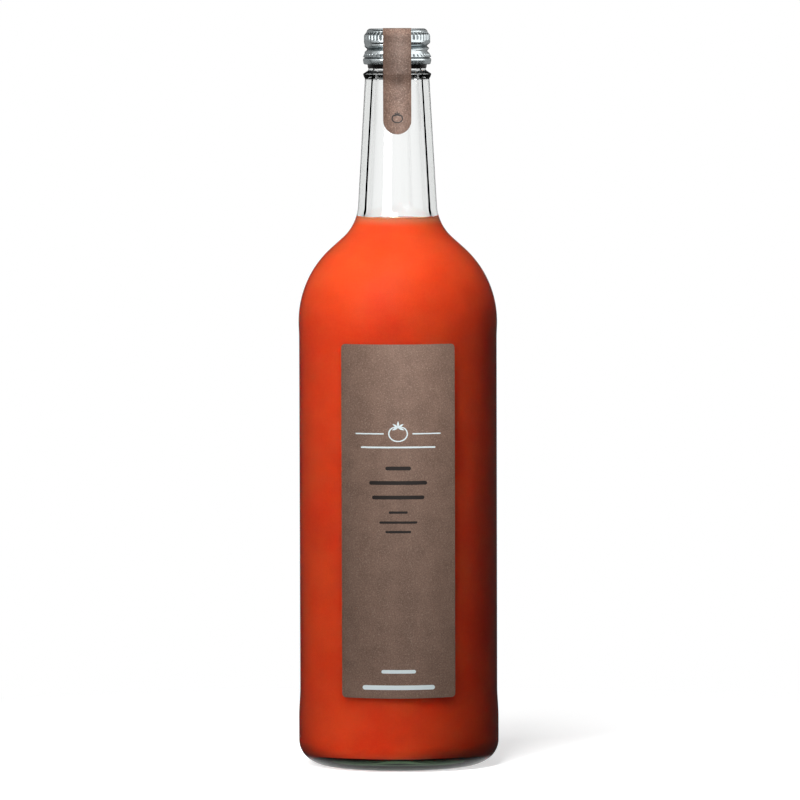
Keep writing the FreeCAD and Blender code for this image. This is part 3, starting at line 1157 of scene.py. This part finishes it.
# %% Flat shapes
def flat_sheet(name, shapes):
    """Flat shapes in millimetres, each a ring of (across, height), sliced so that they bend."""
    flat = bmesh.new()
    for ring in shapes:
        flat.faces.new([flat.verts.new((across * mm, 0, up * mm)) for across, up in ring])
    widest = max(abs(across) for ring in shapes for across, up in ring)
    for cut in range(-int(widest), int(widest) + 1):
        everything = flat.verts[:] + flat.edges[:] + flat.faces[:]
        bmesh.ops.bisect_plane(flat, geom=everything, plane_co=(cut * mm, 0, 0),
                               plane_no=(1, 0, 0), dist=1e-7)
    mesh = bpy.data.meshes.new(name)
    flat.to_mesh(mesh)
    flat.free()
    return mesh


def arc(centre, radius, start, end, count):
    """Points on an arc; angles in degrees, counted anticlockwise from the right."""
    angles = [math.radians(start + (end - start) * index / count) for index in range(count + 1)]
    return [(centre[0] + radius * math.cos(a), centre[1] + radius * math.sin(a)) for a in angles]


def rounded_panel(across, middle, half_width, half_height, corner):
    """A rectangle with rounded corners, anticlockwise."""
    ring = []
    for turn, (sign_x, sign_z) in enumerate([(1, 1), (-1, 1), (-1, -1), (1, -1)]):
        centre = (across + sign_x * (half_width - corner), middle + sign_z * (half_height - corner))
        ring += arc(centre, corner, 90 * turn, 90 * turn + 90, 6)
    return ring


print("flat shapes: flat_sheet, arc, rounded_panel")

# %% [markdown]
# ## Bending a sheet
# Bending keeps a paper's width: what lay flat becomes the length of an arc. So the angle is
# the distance across, divided by the radius. The neck gets wider downwards, and the taper
# input lets a small print follow it.

# %% A tree that wraps
wrap, wrap_in, wrap_out = new_tree(
    "wrap", "GeometryNodeTree",
    {"Sheet": ("Geometry", None), "Radius": ("Float", 0.04), "At Height": ("Float", 0.1),
     "Taper": ("Float", 0.0), "Finish": ("Material", None)},
    {"Wrapped": ("Geometry", None)})
flat_parts = parts_of(wrap, add(wrap, "GeometryNodeInputPosition").outputs[0])
drop = calc(wrap, "SUBTRACT", wrap_in["At Height"], flat_parts["Z"])
bend_radius = calc(wrap, "MULTIPLY_ADD", drop, wrap_in["Taper"], wrap_in["Radius"])
bend = calc(wrap, "DIVIDE", flat_parts["X"], wrap_in["Radius"])
bent_x = product(wrap, bend_radius, calc(wrap, "SINE", bend))
bent_y = product(wrap, bend_radius, calc(wrap, "COSINE", bend), -1.0)
bent = place_from(wrap, bent_x, bent_y, flat_parts["Z"])
wrapped = add(wrap, "GeometryNodeSetPosition", {"Geometry": wrap_in["Sheet"], "Position": bent})
finish_tree(wrap, wrap_out, wrapped.outputs[0], wrap_in["Finish"])

# %% The label
label_arc_width = 50.5
label_margin_below = 0.75
label_margin_above = 1.9
label_bottom = panel_bottom + label_margin_below
label_top = panel_top - label_margin_above
label_corner = 1.7
label_middle = (label_top + label_bottom) / 2
label_half_height = (label_top - label_bottom) / 2
label_face = panel_radius + stand_off
label_ring = rounded_panel(0, label_middle, label_arc_width / 2, label_half_height, label_corner)
label = grow("paper_label", flat_sheet("flat_label", [label_ring]),
             (wrap, {"Radius": label_face * mm, "Finish": label_paper}))
keep(thicken(label, paper_thickness * mm), "label_paper", "front_label")

# %% [markdown]
# ## What is printed
# The print is plain on purpose: a tomato drawn in one line between two rules, rows of bars
# in place of words, and the same small tomato on the seal. Ink is a thin piece of its own, so
# its edges stay sharp at any distance.

# %% Bars and drawn lines
def bar(across, middle, half_width, half_height):
    """A bar with half-round ends."""
    right = arc((across + half_width - half_height, middle), half_height, -90, 90, 8)
    left = arc((across - half_width + half_height, middle), half_height, 90, 270, 8)
    return right + left


def drawn_line(outer, inner):
    """A closed line of some width, as quads between an outer and an inner ring."""
    pairs = list(zip(outer, inner))
    return [[a, c, d, b] for (a, b), (c, d) in zip(pairs, pairs[1:] + pairs[:1])]


print("printed shapes: bar, drawn_line")

# %% A drawn tomato
def tomato_ring(across, middle, size):
    """A round fruit, a little wider than tall and sunk at the stalk."""
    steps = 48
    dip = 0.22
    dip_width = 0.45
    widening = 0.07
    flattening = 0.94
    ring = []
    for step in range(steps):
        angle = 2 * math.pi * step / steps
        sunk = 1 - dip * math.exp(-((angle - math.pi / 2) / dip_width) ** 2)
        radius = size * (1 + widening * math.cos(2 * angle)) * sunk
        up = radius * flattening * math.sin(angle)
        ring.append((across + radius * math.cos(angle), middle + up))
    return ring


def leaf(across, middle, length, half_width, turn):
    """A pointed leaf that grows from a point, leaning by turn degrees from upright."""
    right = []
    for share in [index / 6 for index in range(7)]:
        narrower = 1 - 0.4 * share
        right.append((half_width * math.sin(math.pi * share) * narrower, length * share))
    ring = right + [(-x, z) for x, z in right[-2:0:-1]]
    sine, cosine = math.sin(math.radians(turn)), math.cos(math.radians(turn))
    return [(across + x * cosine - z * sine, middle + x * sine + z * cosine) for x, z in ring]


def tomato(across, middle, size, line):
    """The drawn fruit with five leaves at its stalk."""
    outer = tomato_ring(across, middle, size)
    inner = tomato_ring(across, middle, size - line)
    stalk = middle + 0.66 * size
    length = 0.72 * size
    half_width = 0.14 * size
    leaves = [leaf(across, stalk, length, half_width, turn) for turn in (-112, -56, 0, 56, 112)]
    return drawn_line(outer, inner) + leaves


print("printed shapes: tomato_ring, leaf, tomato")

# %% The inks and the prints
ink_thickness = 0.02
pale_ink, _, _ = new_finish("pale_ink", Base_Color=(0.80, 0.90, 0.92, 1.0), Roughness=0.4)
dark_ink, _, _ = new_finish("dark_ink", Base_Color=(0.022, 0.016, 0.014, 1.0), Roughness=0.5)
rule_height = 142.8
rule_aside = 12.2
mark_height = 274.2
mark_line = 0.55


def printed(name, shapes, radius, at_height, taper, ink, slot):
    """A print of one colour on the label or the seal, a hair proud of the paper."""
    piece = grow(name, flat_sheet(name, shapes),
                 (wrap, {"Radius": (radius + ink_thickness) * mm, "At Height": at_height * mm,
                         "Taper": taper, "Finish": ink}))
    return keep(thicken(piece, ink_thickness * mm), slot)


# Each bar is (across, height, half its width, half its height).
pale_bars = [(-rule_aside, rule_height, 6.2, 0.28), (rule_aside, rule_height, 6.2, 0.28),
             (0, 137.1, 16.0, 0.35), (0, 42.9, 7.3, 0.75), (0, 36.2, 15.5, 0.95)]
dark_bars = [(0, 128.3, 5.4, 0.8), (0, 122.2, 12.3, 0.8), (0, 116.1, 11.1, 0.8),
             (0, 109.8, 4.0, 0.5), (0, 105.6, 8.0, 0.5), (0, 101.6, 5.4, 0.5)]
pale_shapes = tomato(0, rule_height, 3.9, mark_line) + [bar(*sizes) for sizes in pale_bars]
dark_shapes = [bar(*sizes) for sizes in dark_bars]
seal_shapes = tomato(0, mark_height, 2.3, mark_line)
seal_face = neck_radius(mark_height) + stand_off
label_prints = [
    printed("label_print_pale", pale_shapes, label_face, label_middle, 0.0, pale_ink, "label_paper"),
    printed("label_print_dark", dark_shapes, label_face, label_middle, 0.0, dark_ink, "label_paper"),
]
seal_print = printed("seal_print", seal_shapes, seal_face, mark_height, neck_taper, dark_ink,
                     "seal_paper")

# %% [markdown]
# ## The studio
# The bottle stands on a plain white floor that runs on into a white background. A studio
# hides its tricks: what the eye sees, what metal and glass mirror, and what light bounces off
# can each be given their own brightness. The Light Path node tells which kind of ray asks, and
# `diffuse depth` tells whether the ray has already met a plain surface on its way.

# %% Asking what kind of ray it is
white = (1.0, 1.0, 1.0, 1.0)
mirrored_light = 0.03


def studio_rays(tree):
    """Three masks: the eye's rays, straight or through glass; mirrored rays; straight rays."""
    path = add(tree, "ShaderNodeLightPath").outputs
    undimmed = calc(tree, "LESS_THAN", path["Diffuse Depth"], 0.5)
    direct = calc(tree, "MAXIMUM", path["Is Camera Ray"], path["Is Transmission Ray"])
    seen = product(tree, direct, undimmed)
    mirrored = product(tree, path["Is Glossy Ray"], undimmed)
    return seen, mirrored, path["Is Camera Ray"]


def diffuse(tree, colour):
    """A plain matt surface."""
    return add(tree, "ShaderNodeBsdfDiffuse", {"Color": colour}).outputs[0]


def glowing(tree, strength):
    """A surface that gives off white light."""
    return add(tree, "ShaderNodeEmission", {"Color": white, "Strength": strength}).outputs[0]


print("mirrors see the room and the floor at", mirrored_light)

# %% [markdown]
# ## The floor
# For the eye the floor is a matt pale disc with a little glow of its own, which turns to
# plain white away from the bottle, so that its edge never shows. Right under the foot the glow
# is left out, a painted contact shadow that keeps the contact crisp. Light that bounces off the
# floor into the juice would wash it out, so the floor is dark for it, except at a small spot in
# front of the foot's left side. What is mirrored sees a narrow bright ring at the foot, which
# gives the heel its light line, and an almost dark floor beyond.

# %% The floor's sizes and disc
floor_radius = 0.9
floor_drop = 0.05 * mm
floor_mesh = bpy.data.meshes.new("floor")
disc = bmesh.new()
bmesh.ops.create_circle(disc, cap_ends=True, radius=floor_radius, segments=96)
disc.to_mesh(floor_mesh)
disc.free()
floor_mesh.transform(Matrix.Translation((0, 0, -floor_drop)))
floor = bpy.data.objects.new("floor", floor_mesh)
scene.collection.objects.link(floor)
print(f"floor {2 * floor_radius:.1f} m across")

# %% The floor's finish
floor_colour = (0.82, 0.82, 0.82, 1.0)
floor_bounce_colour = (0.04, 0.04, 0.04, 1.0)
floor_near_colour = (0.85, 0.85, 0.85, 1.0)
floor_glow = 0.62
# Painted contact shadow: the glow fades out between these distances from the axis.
foot_shadow_range = (0.024, 0.029)
shadow_range = (0.16, 0.34)
bright_spot = (-0.020, -0.053, 0.0)
bright_spot_range = (0.045, 0.02)
mirrored_ring = (0.044, 0.037)
mirrored_ring_light = 0.6

floor_finish = bpy.data.materials.new("floor_white")
floor_finish.use_nodes = True
floor_tree = floor_finish.node_tree
floor_tree.nodes.clear()
floor_seen, floor_mirrored, _ = studio_rays(floor_tree)
floor_place = object_place(floor_tree)
from_bottle = vector_calc(floor_tree, "LENGTH", floor_place)["Value"]
# Right under the foot the glow is left out, as a painted contact shadow.
outside_foot_shadow = fade(floor_tree, from_bottle, *foot_shadow_range)
near_glow = glowing(floor_tree, product(floor_tree, outside_foot_shadow, floor_glow))
near_floor = add(floor_tree, "ShaderNodeAddShader", {0: diffuse(floor_tree, floor_colour), 1: near_glow})
far = fade(floor_tree, from_bottle, *shadow_range)
eye_floor = blended(floor_tree, far, near_floor.outputs[0], glowing(floor_tree, 1.0))

from_spot = vector_calc(floor_tree, "DISTANCE", floor_place, bright_spot)["Value"]
in_spot = fade(floor_tree, from_spot, *bright_spot_range)
bounce_colour = mixed(floor_tree, in_spot, floor_bounce_colour, floor_near_colour)
lit_floor = blended(floor_tree, floor_seen, diffuse(floor_tree, bounce_colour), eye_floor)

by_the_foot = product(floor_tree, outside_foot_shadow, fade(floor_tree, from_bottle, *mirrored_ring))
ring_light = calc(floor_tree, "MULTIPLY_ADD", by_the_foot, mirrored_ring_light, mirrored_light)
all_floor = blended(floor_tree, floor_mirrored, lit_floor, glowing(floor_tree, ring_light))
add(floor_tree, "ShaderNodeOutputMaterial", {"Surface": all_floor})
floor_mesh.materials.append(floor_finish)
print("floor finish:", len(floor_tree.nodes), "nodes")

# %% [markdown]
# ## The light of the room
# The room gives a weak light of its own, brighter from above and from the left, that fills
# the shadows. What is mirrored sees an almost dark room, so that highlights come only from
# the lamps and cards that are made for them.

# %% Light that the room gives
room_low = 0.02
room_top = 0.12
room_left = 0.08
above_range = (-0.2, 0.9)
left_range = (0.5, -0.9)
room = bpy.data.worlds.new("room")
scene.world = room
room.use_nodes = True
room_tree = room.node_tree
room_tree.nodes.clear()
room_seen, room_mirrored, room_straight = studio_rays(room_tree)
toward = parts_of(room_tree, add(room_tree, "ShaderNodeTexCoord").outputs["Generated"])
from_above = fade(room_tree, toward["Z"], *above_range)
from_left = fade(room_tree, toward["X"], *left_range)
room_light = calc(room_tree, "MULTIPLY_ADD", from_above, room_top, room_low)
room_light = calc(room_tree, "MULTIPLY_ADD", from_left, room_left, room_light)
unseen_light = product(room_tree, room_light, rest_of(room_tree, room_mirrored))
unseen_light = calc(room_tree, "MULTIPLY_ADD", room_mirrored, mirrored_light, unseen_light)
print("room light low, top, left:", room_low, room_top, room_left)

# %% [markdown]
# ## A white background with black flags
# Clear glass shows what stands behind it, bent towards its edges. On plain white it would
# vanish. So a studio has narrow black flags just out of view, which the glass bends into thin
# dark lines inside its edges. Here the flags are dark places of the background that only rays
# through the glass can see, together with a slight grey at the sides and a dark ceiling.

# %% The background seen through the glass
flag_azimuth = math.radians(50)
flag_half_width = math.radians(6.5)
flag_core = 0.6
flag_height = (0.30, 0.20)
flag_darkness = 0.95
ceiling_range = (0.12, 0.40)
ceiling_darkness = 0.85
aside_range = (math.radians(4), math.radians(24))
aside_darkness = 0.16
through_glass = rest_of(room_tree, room_straight)
azimuth = calc(room_tree, "ARCTAN2", toward["X"], toward["Y"])
sideways = calc(room_tree, "ABSOLUTE", azimuth)
behind = calc(room_tree, "MINIMUM", sideways, calc(room_tree, "SUBTRACT", math.pi, sideways))
off_flag = calc(room_tree, "ABSOLUTE", calc(room_tree, "SUBTRACT", behind, flag_azimuth))
flag_across = fade(room_tree, off_flag, flag_half_width, flag_half_width * flag_core)
flag_up = fade(room_tree, calc(room_tree, "ABSOLUTE", toward["Z"]), *flag_height)
flag = product(room_tree, flag_across, flag_up)
ceiling = fade(room_tree, toward["Z"], *ceiling_range)
aside = fade(room_tree, behind, *aside_range)
backdrop = 1.0
for shape, darkness in ((flag, flag_darkness), (ceiling, ceiling_darkness), (aside, aside_darkness)):
    taken = product(room_tree, shape, through_glass, darkness)
    backdrop = calc(room_tree, "SUBTRACT", backdrop, taken)

seen_part = product(room_tree, backdrop, room_seen)
unseen_part = product(room_tree, unseen_light, rest_of(room_tree, room_seen))
strength = calc(room_tree, "ADD", seen_part, unseen_part)
background = add(room_tree, "ShaderNodeBackground", {"Color": white, "Strength": strength})
add(room_tree, "ShaderNodeOutputWorld", {"Surface": background.outputs[0]})
print(f"flags at {math.degrees(flag_azimuth):.0f} degrees to either side")

# %% [markdown]
# ## Lamps
# Glass, paper and metal each need their own light, so every lamp lights only the pieces it is
# given. A large soft lamp to the left, in front and above, shapes the drink: it leaves the
# right side of the juice dark. A smaller one closer in front lights the shoulder, and one high
# behind lights the back of the juice and of the seal. Label and seal also have small lamps of
# their own, whose sheen shows on the paper.

# %% Softboxes
def softbox(name, place, aim, width, height, watts, only, mirrored=False):
    """A flat lamp that points at a spot and lights only the pieces it is given."""
    lamp = bpy.data.lights.new(name, "AREA")
    lamp.shape = "RECTANGLE"
    lamp.size = width
    lamp.size_y = height
    lamp.energy = watts
    holder = bpy.data.objects.new(name, lamp)
    holder.location = place
    holder.rotation_euler = (Vector(place) - Vector(aim)).to_track_quat("Z", "Y").to_euler()
    holder.visible_camera = False
    holder.visible_glossy = mirrored
    scene.collection.objects.link(holder)
    lit = bpy.data.collections.new(name + "_lights")
    for piece in only:
        lit.objects.link(piece)
    holder.light_linking.receiver_collection = lit


juice_and_glass = [bottle, juice_body, juice_top]
drink = juice_and_glass + [floor]
label_pieces = [label] + label_prints
seal_pieces = [seal, seal_print]
body_aim = (0, 0, 0.18)
shoulder_aim = (0, 0, 0.20)
paper_aim = (0, 0, 0.29)
cap_aim = (0, 0, 0.304)
softbox("key_lamp", (-0.45, -0.60, 0.55), body_aim, 0.5, 0.7, 7.7, drink)
softbox("top_lamp", (-0.06, -0.30, 0.50), shoulder_aim, 0.16, 0.25, 3.15, drink)
softbox("label_lamp", (0.02, -0.33, 0.43), paper_aim, 0.14, 0.25, 2.2, label_pieces, mirrored=True)
softbox("strip_lamp", (0.06, -0.36, 0.42), paper_aim, 0.30, 0.30, 1.75, seal_pieces, mirrored=True)
softbox("seal_lamp", (0.03, -0.10, 0.75), cap_aim, 0.20, 0.20, 0.9, [seal], mirrored=True)
softbox("back_lamp", (0.10, 0.42, 0.80), body_aim, 0.4, 0.4, 3.2, juice_and_glass + [seal])

# %% [markdown]
# ## Cards for the cap
# Metal shows hardly anything but what it mirrors. So the cap stands among flat glowing cards,
# a bright one at its right, weaker ones all round, and darkness between them. The flutes and
# the thread then split each card into many small highlights.

# %% The cards
cap_cards = [
    ("cap_card_right", (0.23, -0.11, 0.39), 0.45, 0.30, 0.62),
    ("cap_card_left", (-0.23, -0.13, 0.36), 0.45, 0.30, 0.22),
    ("cap_glint_left", (-0.16, -0.14, 0.34), 0.06, 0.12, 0.10),
    ("cap_card_behind_right", (0.22, 0.20, 0.31), 0.30, 0.40, 0.11),
    ("cap_card_behind_left", (-0.22, 0.20, 0.31), 0.30, 0.40, 0.09),
    ("cap_card_top", (0.0, -0.06, 0.60), 0.30, 0.30, 0.20),
    ("cap_card_below", (0.0, -0.14, 0.12), 0.40, 0.16, 0.06),
    ("cap_card_behind_top", (0.0, 0.18, 0.62), 0.35, 0.30, 0.20),
]
for name, card_place, width, height, watts in cap_cards:
    softbox(name, card_place, cap_aim, width, height, watts, [cap], mirrored=True)
print(f"{len(cap_cards)} cards round the cap")
